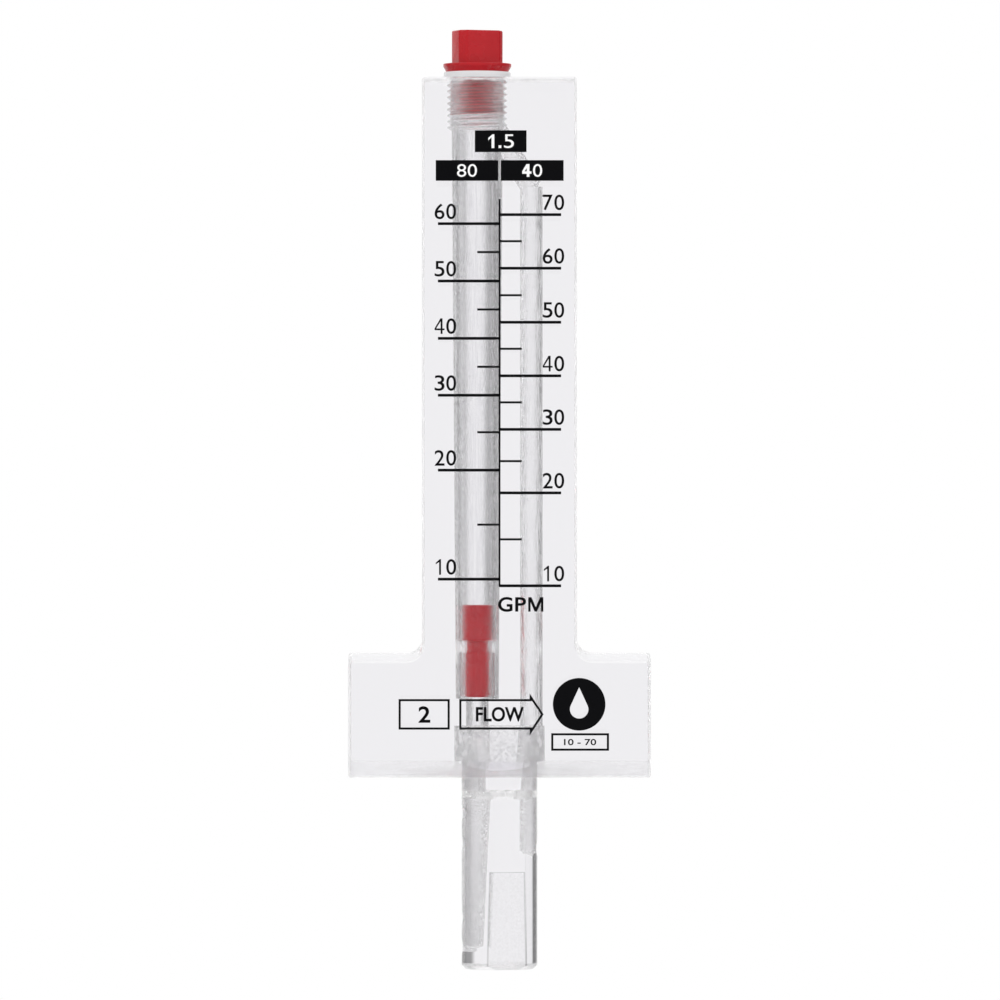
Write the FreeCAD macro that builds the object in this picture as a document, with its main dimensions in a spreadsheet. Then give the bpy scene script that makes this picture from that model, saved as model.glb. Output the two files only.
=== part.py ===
import FreeCAD, Part
import os
import re

import Sketcher
from FreeCAD import Placement, Rotation, Vector

# Insertion flow meter for a 1.5 inch pipe, in millimetres.
# The origin is the crown of the saddle on the probe's axis. +Z is up, the front faces -Y,
# and the pipe lies along X with the flow towards +X.

SIZES = {
    # clear block
    "block_length": (63.5, "saddle's length along the pipe"),
    "block_depth": (25.4, "thickness of the block, front to back"),
    "column_width": (32.5, "width of the upright that carries the scales"),
    "column_top": (143.6, "top of the upright above the saddle's crown"),
    "wing_top": (22.8, "crown of the wings above the saddle's crown"),
    "saddle_radius": (25.2, "radius of the saddle, a pipe's radius and a gasket"),
    "root_fillet": (3.3, "fillet between upright and wings"),
    "edge_bevel": (0.4, "broken edges of the block"),
    # metering bore and the plugged port above it
    "bore_offset": (4.7, "metering bore's axis, upstream of the probe's axis"),
    "bore_floor": (13.1, "floor of the metering bore"),
    "bore_floor_width": (9.13, "metering bore's diameter at its floor"),
    "bore_head_width": (10.8, "metering bore's diameter at its head"),
    "port_width": (12.7, "threaded port's diameter"),
    "port_depth": (10.9, "threaded port's depth"),
    "port_bevel": (0.3, "bevel at the port's mouth"),
    "inlet_width": (4.8, "hole from the socket into the metering bore"),
    # return passage
    "return_offset": (6.7, "return bore's axis, downstream of the probe's axis"),
    "return_width": (4.76, "diameter of the return bore and the slanted passage"),
    "return_drop": (22.8, "return bore's head below the top of the upright"),
    "slant_angle": (32.0, "lean of the slanted passage from upright, in degrees"),
    "slant_length": (19.5, "slanted passage, from the return bore to the port"),
    # socket and probe
    "socket_width": (19.05, "diameter of the probe's socket"),
    "socket_depth": (7.4, "socket's floor above the saddle's crown"),
    "bond_gap": (0.03, "thickness of the bonded joints"),
    "probe_width": (16.0, "diameter of the probe below the socket"),
    "probe_past_axis": (18.7, "probe's end below the pipe's axis"),
    "probe_bevel": (0.8, "bevel at the probe's end"),
    "collar_reach": (7.2, "collar piece's end below the saddle's crown"),
    "rise_offset": (4.4, "impact bore's axis in the collar"),
    "impact_offset": (3.6, "impact bore's axis at the top of the tip"),
    "impact_width": (4.76, "diameter of the impact bore"),
    "impact_past_hole": (1.15, "impact bore's end below its lowest hole"),
    "impact_lean": (2.0, "lean of the impact bore in the tip, in degrees"),
    "static_offset": (4.9, "static bore's axis in the tip"),
    "static_width": (4.0, "diameter of the static bore"),
    "static_above_axis": (5.0, "static bore's end above the pipe's axis"),
    "static_lean": (4.3, "lean of the static bore in the collar, in degrees"),
    "drill_angle": (59.0, "half angle of the drill points, in degrees"),
    "pressure_hole_width": (2.2, "diameter of the holes into the probe's bores"),
    "inner_hole_spacing": (15.7, "distance between the two inner upstream holes"),
    "outer_hole_spacing": (28.1, "distance between the two outer upstream holes"),
    "static_hole_rise": (1.7, "downstream hole above the static bore's end"),
    "flat_above_axis": (1.9, "top of the probe's flat above the pipe's axis"),
    "flat_depth": (0.93, "depth of the flat at its top"),
    "flat_lean": (0.7, "slope of the flat, in degrees"),
    "flat_turn": (13.0, "turn of the flat from the front, in degrees"),
    # float
    "float_height": (19.4, "float's height"),
    "float_head_width": (9.0, "float's head, whose top edge is read"),
    "float_head_height": (7.8, "height of the float's head"),
    "float_waist_width": (6.6, "groove below the float's head"),
    "float_waist_height": (1.9, "height of that groove"),
    "float_stem_width": (7.4, "float's lower part"),
    "float_bevel": (0.45, "bevels of the float"),
    "float_rest": (0.3, "float's end above the bore's floor"),
    # plug and seal
    "flange_width": (14.35, "plug's flange"),
    "flange_height": (1.7, "thickness of the flange"),
    "flange_rim": (0.6, "height of the flange's upright rim"),
    "flange_taper": (0.65, "how far the flange draws in below its rim"),
    "head_length": (9.9, "plug's head, long side"),
    "head_depth": (6.9, "plug's head, short side"),
    "head_height": (7.0, "height of the plug's head"),
    "head_corner": (1.25, "cut corners of the head"),
    "head_edge": (0.35, "rounding of the head's top edge"),
    "head_turn": (22.0, "turn of the head from square, in degrees"),
    "neck_width": (11.0, "plug's neck inside the seal"),
    "thread_gap": (0.075, "clearance round the plug's shank"),
    "shank_reach": (7.7, "plug's end below the top of the upright"),
    "shank_bevel": (0.6, "bevel at the plug's end"),
    "seal_width": (14.2, "seal's outer diameter"),
    "seal_height": (1.6, "seal's height"),
    "seal_gap": (0.08, "clearance between the seal and the neck"),
    "seal_bevel": (0.45, "bevelled outer edges of the seal"),
}

SHEET = "Sizes"
FULL_TURN = 360.0

# a sketch's own origin and axes, as its constraints number them
ORIGIN_INDEX = -1
LEVEL_AXIS_INDEX = -1
UPRIGHT_AXIS_INDEX = -2

# the saddle and the probe are laid out from the pipe's axis
PIPE_AXIS = "-saddle_radius"
PROBE_END = "-saddle_radius - probe_past_axis"
IMPACT_END = "-saddle_radius - outer_hole_spacing / 2 - impact_past_hole"
STATIC_END = "-saddle_radius + static_above_axis"
FLAT_START = "-saddle_radius + flat_above_axis"


def cells(text):
    """Write each size's name in an expression as the sheet's cell."""
    def as_cell(match):
        word = match.group()
        return SHEET + "." + word if word in SIZES else word
    return re.sub(r"[a-z_]+", as_cell, text)


def make_sheet(doc):
    sheet = doc.addObject("Spreadsheet::Sheet", SHEET)
    for row, (name, (value, meaning)) in enumerate(SIZES.items(), start=1):
        sheet.set("A%d" % row, meaning)
        sheet.set("B%d" % row, str(value))
        sheet.setAlias("B%d" % row, name)
    doc.recompute()
    return sheet


def bind(obj, **expressions):
    for name, text in expressions.items():
        obj.setExpression(name, cells(text))


def new_body(doc, label):
    body = doc.addObject("PartDesign::Body", label)
    body.Label = label
    return body


def add_sketch(body, name, role, along="0", up="0", out="0", turn=None):
    """Add a sketch on one of the body's own planes, shifted and turned in that plane's axes."""
    sketch = body.newObject("Sketcher::SketchObject", name)
    plane = [item for item in body.Origin.OriginFeatures if item.Role == role][0]
    sketch.AttachmentSupport = [(plane, "")]
    sketch.MapMode = "FlatFace"
    if turn is not None:
        sketch.AttachmentOffset = Placement(Vector(), turn)
    sketch.setExpression(".AttachmentOffset.Base.x", cells(along))
    sketch.setExpression(".AttachmentOffset.Base.y", cells(up))
    sketch.setExpression(".AttachmentOffset.Base.z", cells(out))
    return sketch


def fix_distance(sketch, kind, geometry, point, text):
    """Hold a point of the sketch at a distance from its origin that the sheet gives."""
    if text == "0":
        axis = UPRIGHT_AXIS_INDEX if kind == "DistanceX" else LEVEL_AXIS_INDEX
        sketch.addConstraint(Sketcher.Constraint("PointOnObject", geometry, point, axis))
        return
    value = sketch.evalExpression(cells(text))
    rule = Sketcher.Constraint(kind, ORIGIN_INDEX, 1, geometry, point, float(value))
    index = sketch.addConstraint(rule)
    sketch.setExpression("Constraints[%d]" % index, cells(text))


def draw_outline(sketch, corners):
    """Draw a closed outline of straight lines whose corners are pairs of expressions."""
    spots = [Vector(*[float(sketch.evalExpression(cells(text))) for text in pair], 0)
             for pair in corners]
    first = sketch.GeometryCount
    count = len(spots)
    for index, spot in enumerate(spots):
        sketch.addGeometry(Part.LineSegment(spot, spots[(index + 1) % count]))
    for index, (along, up) in enumerate(corners):
        line = first + index
        before = first + (index - 1) % count
        sketch.addConstraint(Sketcher.Constraint("Coincident", before, 2, line, 1))
        fix_distance(sketch, "DistanceX", line, 1, along)
        fix_distance(sketch, "DistanceY", line, 1, up)


def draw_circle(sketch, along, up, width):
    """Draw a circle whose centre and diameter are expressions."""
    values = [float(sketch.evalExpression(cells(text))) for text in (along, up, width)]
    circle = Part.Circle(Vector(values[0], values[1], 0), Vector(0, 0, 1), values[2] / 2)
    index = sketch.addGeometry(circle)
    rule = sketch.addConstraint(Sketcher.Constraint("Diameter", index, values[2]))
    sketch.setExpression("Constraints[%d]" % rule, cells(width))
    fix_distance(sketch, "DistanceX", index, 3, along)
    fix_distance(sketch, "DistanceY", index, 3, up)


def add_pad(body, name, sketch, length):
    pad = body.newObject("PartDesign::Pad", name)
    pad.Profile = sketch
    pad.Midplane = True
    bind(pad, Length=length)
    return pad


def add_pocket(body, name, sketch, towards_normal=False, both_sides=False):
    """Cut a sketch right through, on one side of its plane or on both."""
    pocket = body.newObject("PartDesign::Pocket", name)
    pocket.Profile = sketch
    pocket.Type = "ThroughAll"
    pocket.Reversed = towards_normal
    pocket.Midplane = both_sides
    return pocket


def add_turned(body, name, sketch, kind="PartDesign::Revolution"):
    """Turn a sketch round its own upright axis, as a solid or as a cut."""
    turned = body.newObject(kind, name)
    turned.Profile = sketch
    turned.ReferenceAxis = (sketch, ["V_Axis"])
    turned.Angle = FULL_TURN
    return turned


def add_bore(body, name, corners, along="0", up="0", lean=0.0):
    """Cut a round hole whose half section is an outline from the axis outwards."""
    turn = Rotation(Vector(0, 0, 1), lean)
    sketch = add_sketch(body, name + "_section", "XZ_Plane", along, up, turn=turn)
    draw_outline(sketch, corners)
    return add_turned(body, name, sketch, "PartDesign::Groove")


def drilled(width, length):
    """Half section of a drilled hole that starts at its point and opens upwards."""
    half = "%s / 2" % width
    point = "%s / 2 / tan(drill_angle)" % width
    return [("0", "0"), (half, point), (half, length), ("0", length)]


def dress_edges(body, kind, name, size, wanted):
    """Put a fillet or a chamfer on the edges of the body that a test picks."""
    doc = body.Document
    doc.recompute()
    base = body.Tip
    edges = ["Edge%d" % number
             for number, edge in enumerate(base.Shape.Edges, start=1) if wanted(edge)]
    dressed = body.newObject(kind, name)
    dressed.Base = (base, edges)
    if kind == "PartDesign::Fillet":
        bind(dressed, Radius=size)
    else:
        bind(dressed, Size=size)
    return dressed


def near(value, target, within=0.01):
    return abs(value - target) < within


def build_block(doc, size):
    """Clear block: crowned wings on a saddle, an upright, and the bores in both."""
    body = new_body(doc, "meter_body")

    section = add_sketch(body, "wing_section", "YZ_Plane")
    draw_outline(section, [("-block_depth / 2", "-saddle_radius / 2"),
                           ("block_depth / 2", "-saddle_radius / 2"),
                           ("block_depth / 2", "wing_top"),
                           ("-block_depth / 2", "wing_top")])
    add_pad(body, "wings", section, "block_length")

    # the wings' tops follow the pipe: what lies outside a circle about the pipe's axis goes
    crown = add_sketch(body, "crown_section", "YZ_Plane")
    for diameter in ("2 * (saddle_radius + wing_top)", "4 * (saddle_radius + wing_top)"):
        draw_circle(crown, "0", PIPE_AXIS, diameter)
    add_pocket(body, "crowned_tops", crown, both_sides=True)

    upright = add_sketch(body, "upright_outline", "XZ_Plane")
    draw_outline(upright, [("-column_width / 2", "0"), ("column_width / 2", "0"),
                           ("column_width / 2", "column_top"),
                           ("-column_width / 2", "column_top")])
    add_pad(body, "upright", upright, "block_depth")

    pipe = add_sketch(body, "pipe_section", "YZ_Plane")
    draw_circle(pipe, "0", PIPE_AXIS, "2 * saddle_radius")
    add_pocket(body, "saddle", pipe, both_sides=True)

    side = size["column_width"] / 2

    def joins_wing(edge):
        box = edge.BoundBox
        return (near(abs(box.Center.x), side) and near(box.XLength, 0)
                and near(box.ZMax, size["wing_top"]) and box.ZLength < size["wing_top"] / 2)

    dress_edges(body, "PartDesign::Fillet", "roots", "root_fillet", joins_wing)

    def on_outside(edge):
        box = edge.BoundBox
        wing_end = near(abs(box.Center.x), size["block_length"] / 2) and near(box.XLength, 0)
        front = near(abs(box.Center.y), size["block_depth"] / 2) and near(box.YLength, 0)
        top = near(box.Center.z, size["column_top"])
        return wing_end or front or top

    dress_edges(body, "PartDesign::Chamfer", "broken_edges", "edge_bevel", on_outside)
    cut_block_bores(body, size)
    return body


def cut_block_bores(body, size):
    """Socket, metering bore with its port, return bore and slanted passage."""
    add_bore(body, "socket", [("0", PIPE_AXIS), ("socket_width / 2", PIPE_AXIS),
                              ("socket_width / 2", "socket_depth"), ("0", "socket_depth")])

    port_floor = "column_top - port_depth"
    add_bore(body, "metering_bore", [
        ("0", "socket_depth / 2"), ("inlet_width / 2", "socket_depth / 2"),
        ("inlet_width / 2", "bore_floor"), ("bore_floor_width / 2", "bore_floor"),
        ("bore_head_width / 2", port_floor), ("port_width / 2", port_floor),
        ("port_width / 2", "column_top - port_bevel"),
        ("port_width / 2 + 2 * port_bevel", "column_top + port_bevel"),
        ("0", "column_top + port_bevel")], along="-bore_offset")

    return_head = "column_top - return_drop"
    add_bore(body, "return_bore", [
        ("0", "socket_depth / 2"), ("return_width / 2", "socket_depth / 2"),
        ("return_width / 2", return_head), ("0", return_head)], along="return_offset")

    add_bore(body, "slanted_passage", drilled("return_width", "slant_length"),
             along="return_offset + return_width / 4 * tan(slant_angle)",
             up=return_head + " - return_width / 4", lean=size["slant_angle"])


def build_collar(doc, size):
    """Upper piece of the probe, bonded into the socket."""
    body = new_body(doc, "probe_collar")
    section = add_sketch(body, "collar_section", "XZ_Plane")
    shoulder = "socket_width / 2 - bond_gap"
    draw_outline(section, [("0", "-collar_reach"), ("probe_width / 2", "-collar_reach"),
                           ("probe_width / 2", "0"), (shoulder, "0"),
                           (shoulder, "socket_depth - bond_gap"),
                           ("0", "socket_depth - bond_gap")])
    add_turned(body, "collar", section)

    low = "-collar_reach - 1"
    high = "socket_depth + 1"
    for name, width, along, lean in (("rise_bore", "inlet_width", "-rise_offset", 0.0),
                                     ("static_bore", "static_width", "static_offset",
                                      -size["static_lean"])):
        half = width + " / 2"
        add_bore(body, name, [("0", "0"), (half, "0"), (half, high + " + collar_reach + 1"),
                              ("0", high + " + collar_reach + 1")],
                 along=along, up=low, lean=lean)
    return body


def build_tip(doc, size):
    """Lower piece of the probe: impact bore, static bore, pressure holes and flat."""
    body = new_body(doc, "probe_tip")
    top = "-collar_reach - bond_gap"
    section = add_sketch(body, "tip_section", "XZ_Plane")
    draw_outline(section, [("0", PROBE_END), ("probe_width / 2 - probe_bevel", PROBE_END),
                           ("probe_width / 2", PROBE_END + " + probe_bevel"),
                           ("probe_width / 2", top), ("0", top)])
    add_turned(body, "tip", section)

    run = "(-collar_reach - (%s))" % IMPACT_END
    add_bore(body, "impact_bore", drilled("impact_width", "-(%s)" % IMPACT_END),
             along="-impact_offset - %s * tan(impact_lean)" % run,
             up=IMPACT_END, lean=-size["impact_lean"])
    add_bore(body, "static_bore", drilled("static_width", "-(%s)" % STATIC_END),
             along="static_offset", up=STATIC_END)

    holes = add_sketch(body, "upstream_hole_section", "YZ_Plane", out="-impact_offset")
    for spacing in ("inner_hole_spacing", "outer_hole_spacing"):
        for side in ("+", "-"):
            draw_circle(holes, "0", "%s %s %s / 2" % (PIPE_AXIS, side, spacing),
                        "pressure_hole_width")
    add_pocket(body, "upstream_holes", holes)

    hole = add_sketch(body, "downstream_hole_section", "YZ_Plane", out="static_offset")
    draw_circle(hole, "0", STATIC_END + " + static_hole_rise", "pressure_hole_width")
    add_pocket(body, "downstream_hole", hole, towards_normal=True)

    cut_flat(body, size)
    return body


def cut_flat(body, size):
    """Mill the flat that runs from the middle of the tip down to its end."""
    facing = Rotation(Vector(0, 1, 0), size["flat_turn"])
    slope = Rotation(Vector(1, 0, 0), -size["flat_lean"])
    distance = "(probe_width / 2 - flat_depth)"
    sketch = add_sketch(body, "flat_outline", "XZ_Plane",
                        along=distance + " * sin(flat_turn)", up=FLAT_START,
                        out=distance + " * cos(flat_turn)", turn=facing * slope)
    draw_outline(sketch, [("-probe_width / 2", PROBE_END), ("probe_width / 2", PROBE_END),
                          ("probe_width / 2", "0"), ("-probe_width / 2", "0")])
    add_pocket(body, "flat", sketch, towards_normal=True)


def build_float(doc):
    """Float at rest, just above the floor of the metering bore."""
    body = new_body(doc, "float")
    foot = "bore_floor + float_rest"
    top = foot + " + float_height"
    neck = top + " - float_head_height"
    stem = neck + " - float_waist_height"
    head_half = "float_head_width / 2"
    stem_half = "float_stem_width / 2"
    waist_half = "float_waist_width / 2"
    section = add_sketch(body, "float_section", "XZ_Plane", along="-bore_offset")
    draw_outline(section, [
        ("0", foot), (stem_half + " - float_bevel", foot), (stem_half, foot + " + float_bevel"),
        (stem_half, stem + " - float_bevel"), (waist_half, stem), (waist_half, neck),
        (head_half, neck + " + float_bevel"), (head_half, top), ("0", top)])
    add_turned(body, "turned_float", section)
    return body


def build_plug(doc, size):
    """Screw plug: shank, neck for the seal, flange and wrench head. Its thread is plain here."""
    body = new_body(doc, "top_plug")
    end = "column_top - shank_reach"
    seat = "column_top + seal_height"
    rim = seat + " + flange_height"
    shank_half = "port_width / 2 - thread_gap"
    shank_top = "column_top - 2 * port_bevel"
    section = add_sketch(body, "plug_section", "XZ_Plane", along="-bore_offset")
    draw_outline(section, [
        ("0", end), (shank_half + " - shank_bevel", end), (shank_half, end + " + shank_bevel"),
        (shank_half, shank_top), ("neck_width / 2", shank_top), ("neck_width / 2", seat),
        ("flange_width / 2 - flange_taper", seat), ("flange_width / 2", rim + " - flange_rim"),
        ("flange_width / 2", rim), ("0", rim)])
    add_turned(body, "turned_plug", section)

    turn = Rotation(Vector(0, 0, 1), size["head_turn"])
    outline = add_sketch(body, "head_outline", "XY_Plane", along="-bore_offset", out=rim, turn=turn)
    draw_outline(outline, [(side_x + "(head_length / 2%s)" % cut_x,
                            side_y + "(head_depth / 2%s)" % cut_y)
                           for side_x, side_y, cut_x, cut_y in HEAD_CORNERS])
    head = body.newObject("PartDesign::Pad", "wrench_head")
    head.Profile = outline
    bind(head, Length="head_height")

    head_top = size["column_top"] + sum(size[name] for name in (
        "seal_height", "flange_height", "head_height"))
    dress_edges(body, "PartDesign::Fillet", "head_rounding", "head_edge",
                lambda edge: near(edge.BoundBox.ZMin, head_top))
    return body


CORNER_CUT = " - head_corner"
HEAD_CORNERS = [
    ("", "-", "", CORNER_CUT), ("", "", "", CORNER_CUT), ("", "", CORNER_CUT, ""),
    ("-", "", CORNER_CUT, ""), ("-", "", "", CORNER_CUT), ("-", "-", "", CORNER_CUT),
    ("-", "-", CORNER_CUT, ""), ("", "-", CORNER_CUT, "")]


def build_seal(doc):
    """Clear seal that the plug's flange presses on the top of the block."""
    body = new_body(doc, "plug_seal")
    inner = "neck_width / 2 + seal_gap"
    outer = "seal_width / 2"
    top = "column_top + seal_height"
    section = add_sketch(body, "seal_section", "XZ_Plane", along="-bore_offset")
    draw_outline(section, [
        (inner, "column_top"), (outer + " - seal_bevel", "column_top"),
        (outer, "column_top + seal_bevel"), (outer, top + " - seal_bevel"),
        (outer + " - seal_bevel", top), (inner, top)])
    add_turned(body, "seal", section)
    return body


def check_document(doc, bodies):
    for item in doc.Objects:
        if "Invalid" in item.State or "Error" in item.State:
            raise RuntimeError("%s failed: %s" % (item.Name, item.State))
    for body in bodies:
        if body.Shape.isNull() or not body.Shape.isValid():
            raise RuntimeError("%s has no valid shape" % body.Label)
        if len(body.Shape.Solids) != 1:
            raise RuntimeError("%s is not one solid" % body.Label)


def check_cuts(bodies):
    """Each cut has to take material away."""
    for body in bodies:
        steps = [item for item in body.Group if hasattr(item, "BaseFeature")]
        for before, after in zip(steps, steps[1:]):
            if after.TypeId in ("PartDesign::Pocket", "PartDesign::Groove"):
                if after.Shape.Volume >= before.Shape.Volume:
                    raise RuntimeError("%s cuts nothing" % after.Name)


def main():
    doc = FreeCAD.newDocument("flow_meter")
    sheet = make_sheet(doc)
    size = {name: float(sheet.get(name)) for name in SIZES}
    bodies = [build_block(doc, size), build_collar(doc, size), build_tip(doc, size),
              build_float(doc), build_plug(doc, size), build_seal(doc)]
    doc.recompute()
    check_document(doc, bodies)
    check_cuts(bodies)
    os.makedirs("parts", exist_ok=True)
    for body in bodies:
        body.Shape.exportStep("parts/%s.step" % body.Label)
        box = body.Shape.BoundBox
        print("%-14s volume %9.1f  X %7.2f %7.2f  Y %7.2f %7.2f  Z %7.2f %7.2f" % (
            body.Label, body.Shape.Volume, box.XMin, box.XMax, box.YMin, box.YMax,
            box.ZMin, box.ZMax))


main()
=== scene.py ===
from math import ceil, cos, pi, radians, sin, sqrt, tan

import bmesh
import bpy
from mathutils import Matrix, Vector


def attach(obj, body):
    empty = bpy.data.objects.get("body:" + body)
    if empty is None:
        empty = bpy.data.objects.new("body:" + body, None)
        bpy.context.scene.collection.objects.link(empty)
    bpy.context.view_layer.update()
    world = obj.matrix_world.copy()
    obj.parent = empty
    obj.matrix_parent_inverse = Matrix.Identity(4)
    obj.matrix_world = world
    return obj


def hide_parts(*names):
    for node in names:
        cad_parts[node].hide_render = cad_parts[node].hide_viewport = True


bl_info = {
    "name": "Clear insertion flow meter",
    "version": (1, 0, 0),
    "blender": (4, 5, 0),
    "location": "3D View > Sidebar > Flow meter",
    "description": "Dresses a clear saddle-mounted flow meter with bores, float, plug and print",
    "category": "Object",
}

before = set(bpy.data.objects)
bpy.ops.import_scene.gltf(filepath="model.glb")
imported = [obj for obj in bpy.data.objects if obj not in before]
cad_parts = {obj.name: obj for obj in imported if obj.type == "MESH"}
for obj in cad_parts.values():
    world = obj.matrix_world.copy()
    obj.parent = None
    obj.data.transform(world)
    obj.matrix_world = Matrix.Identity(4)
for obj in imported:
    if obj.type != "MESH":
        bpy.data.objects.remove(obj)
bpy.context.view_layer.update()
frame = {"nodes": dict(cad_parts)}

MM = 0.001
AROUND = 128
SQUARE = pi / 2
DRILL_POINT = radians(59.0)
THREAD_FLANK = radians(30.0)
# Height from which the turns of both threads are counted
THREAD_START = 128 * MM
# Share of the lamps' light that a clear surface lets through
LIGHT_LET_IN = 0.88


# Sizes and colours

def length(name, description, value):
    return bpy.props.FloatProperty(name=name, description=description, default=value * MM,
                                   unit="LENGTH", precision=6)


def angle(name, description, value):
    return bpy.props.FloatProperty(name=name, description=description, default=radians(value),
                                   subtype="ANGLE")


def colour(name, description, value):
    return bpy.props.FloatVectorProperty(name=name, description=description, default=value,
                                         size=3, subtype="COLOR", min=0.0, max=1.0)


def share(name, description, value):
    return bpy.props.FloatProperty(name=name, description=description, default=value,
                                   min=0.0, max=1.0, subtype="FACTOR")


class MeterBodySizes(bpy.types.PropertyGroup):
    length: length("Length", "Block's length along the pipe", 63.5)
    depth: length("Depth", "Block's thickness", 25.4)
    column: length("Upright", "Width of the upright", 32.5)
    top: length("Top", "Top of the upright above the saddle's crown", 143.6)
    wing: length("Wings", "Crown of the wings above the saddle's crown", 22.8)
    saddle: length("Saddle", "Radius of the saddle", 25.2)
    fillet: length("Root fillet", "Fillet between upright and wings", 3.3)
    edge: length("Broken edge", "Bevel along the block's edges", 0.4)
    bore_x: length("Metering bore", "Place of the metering bore", -4.7)
    bore_floor: length("Bore floor", "Floor of the metering bore", 13.1)
    floor_width: length("Width at floor", "Metering bore's diameter at its floor", 9.13)
    head_width: length("Width at head", "Metering bore's diameter at its head", 10.8)
    inlet_width: length("Inlet", "Diameter of the hole below the metering bore", 4.8)
    port_floor: length("Port floor", "Lower end of the threaded port", 132.7)
    return_x: length("Return bore", "Place of the return bore", 6.7)
    return_width: length("Return width", "Diameter of the return bore", 4.76)
    return_head: length("Return head", "Upper end of the return bore", 120.8)
    slant: angle("Slant", "Lean of the passage from the return bore to the port", 32.0)
    slant_run: length("Slanted run", "Length of the slanted passage", 19.5)
    socket_width: length("Socket", "Diameter of the probe's socket", 19.05)
    socket_floor: length("Socket floor", "Floor of the socket", 7.4)


class ProbeSizes(bpy.types.PropertyGroup):
    width: length("Width", "Diameter of the probe", 16.0)
    collar_width: length("Collar", "Diameter of the collar in the socket", 18.99)
    collar_top: length("Collar top", "Top of the collar", 7.37)
    collar_foot: length("Collar foot", "Lower end of the collar", -7.2)
    tip_top: length("Tip top", "Top of the tip piece", -7.23)
    tip_end: length("Tip end", "Lower end of the tip piece", -43.9)
    bevel: length("End bevel", "Bevel at the probe's end", 0.8)
    rise_x: length("Rise bore", "Place of the collar's bore below the metering bore", -4.4)
    impact_width: length("Impact bore", "Diameter of the impact bore", 4.76)
    impact_x: length("Impact bore's top", "Place of the impact bore at the collar's foot", -3.6)
    impact_low: length("Impact bore's end", "Lower end of the impact bore", -40.4)
    impact_lean: angle("Impact bore's lean", "Lean of the impact bore", 2.0)
    static_width: length("Static bore", "Diameter of the static bore", 4.0)
    static_x: length("Static bore's place", "Place of the static bore", 4.9)
    static_low: length("Static bore's end", "Lower end of the static bore", -20.2)
    static_lean: angle("Static bore's lean", "Lean of the static bore in the collar", 4.3)
    hole_width: length("Pressure holes", "Diameter of the pressure holes", 2.2)
    flat_top: length("Flat top", "Top of the milled flat", -23.3)
    flat_depth: length("Flat depth", "Depth of the milled flat", 0.93)
    flat_turn: angle("Flat turn", "Turn of the flat from the front", 13.0)
    flat_lean: angle("Flat lean", "Slope of the flat", 0.7)


class FloatSizes(bpy.types.PropertyGroup):
    foot: length("Foot", "Float's lower end at rest", 13.4)
    top: length("Top", "Float's upper edge at rest", 32.8)
    head_width: length("Head", "Diameter of the head", 9.0)
    head_height: length("Head height", "Height of the head", 7.8)
    waist_width: length("Waist", "Diameter of the groove", 6.6)
    waist_height: length("Waist height", "Height of the groove", 1.9)
    stem_width: length("Stem", "Diameter of the stem", 7.4)
    bevel: length("Bevel", "Bevels of the float", 0.45)


class PlugSizes(bpy.types.PropertyGroup):
    pitch: length("Pitch", "Rise of the thread in one turn", 1.27)
    port_width: length("Port thread", "Diameter of the port's thread at its root", 12.7)
    shank_width: length("Shank thread", "Diameter of the plug's thread at its crest", 12.55)
    tooth: length("Thread depth", "Depth of the thread", 0.68)
    end: length("End", "Lower end of the plug", 135.9)
    shank_top: length("Shank top", "Upper end of the plug's thread", 143.0)
    neck_width: length("Neck", "Diameter of the neck in the seal", 11.0)
    seat: length("Seat", "Top of the seal", 145.2)
    rim: length("Rim", "Top of the flange", 146.9)
    flange_width: length("Flange", "Diameter of the flange", 14.35)
    head_length: length("Head length", "Long side of the head", 9.9)
    head_depth: length("Head depth", "Short side of the head", 6.9)
    head_height: length("Head height", "Height of the head", 7.0)
    head_corner: length("Head corners", "Cut corners of the head", 1.25)
    head_edge: length("Head edge", "Rounding of the head's top edge", 0.35)
    head_turn: angle("Head turn", "Turn of the head", 22.0)
    seal_width: length("Seal", "Outer diameter of the seal", 14.2)
    seal_inner: length("Seal hole", "Inner diameter of the seal", 11.16)


class PrintSizes(bpy.types.PropertyGroup):
    face: length("Face", "Front face that carries the print", -12.7)
    ink: length("Ink", "Thickness of the ink", 0.025)
    heavy: length("Heavy line", "Thickness of the numbered lines", 0.6)
    light: length("Light line", "Thickness of the lines between", 0.46)
    frame: length("Frames", "Thickness of the frames' lines", 0.46)
    cap: length("Numbers", "Height of the scales' numbers", 3.3)
    reach: length("Long lines", "Reach of the numbered lines", 13.0)
    short: length("Short lines", "Reach of the lines between", 4.7)


class FinishSettings(bpy.types.PropertyGroup):
    acrylic: colour("Acrylic", "Tint of the clear acrylic", (0.885, 0.878, 0.9))
    red: colour("Red plastic", "Colour of the plug", (0.50, 0.005, 0.012))
    # The float's red, made lighter than the plug's: its own colour plus painted light for the lamp
    # light that the acrylic keeps from it
    float_red: colour("Float", "Colour of the float", (0.60, 0.008, 0.02))
    seal: colour("Seal", "Tint of the translucent seal", (0.97, 0.97, 0.98))
    ink: colour("Ink", "Colour of the print", (0.002, 0.002, 0.0025))
    white_ink: colour("White ink", "Colour of the labels' numbers", (0.93, 0.93, 0.93))
    floor: colour("Floor", "Colour of the floor", (0.86, 0.86, 0.86))
    walls: share("Walls", "Roughness that the tools' finishes start from", 0.07)


class StageSettings(bpy.types.PropertyGroup):
    look_x: length("Look at X", "Place across that the camera looks at", 0.1)
    look_z: length("Look at Z", "Height that the camera looks at", 54.9)
    distance: length("Distance", "Camera's distance from the object", 1800.0)
    seen: length("Height seen", "Height of the picture at the object", 210.97)
    floor_level: length("Floor level", "Height of the floor", -100.0)
    floor_radius: length("Floor radius", "Radius of the floor", 700.0)


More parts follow.
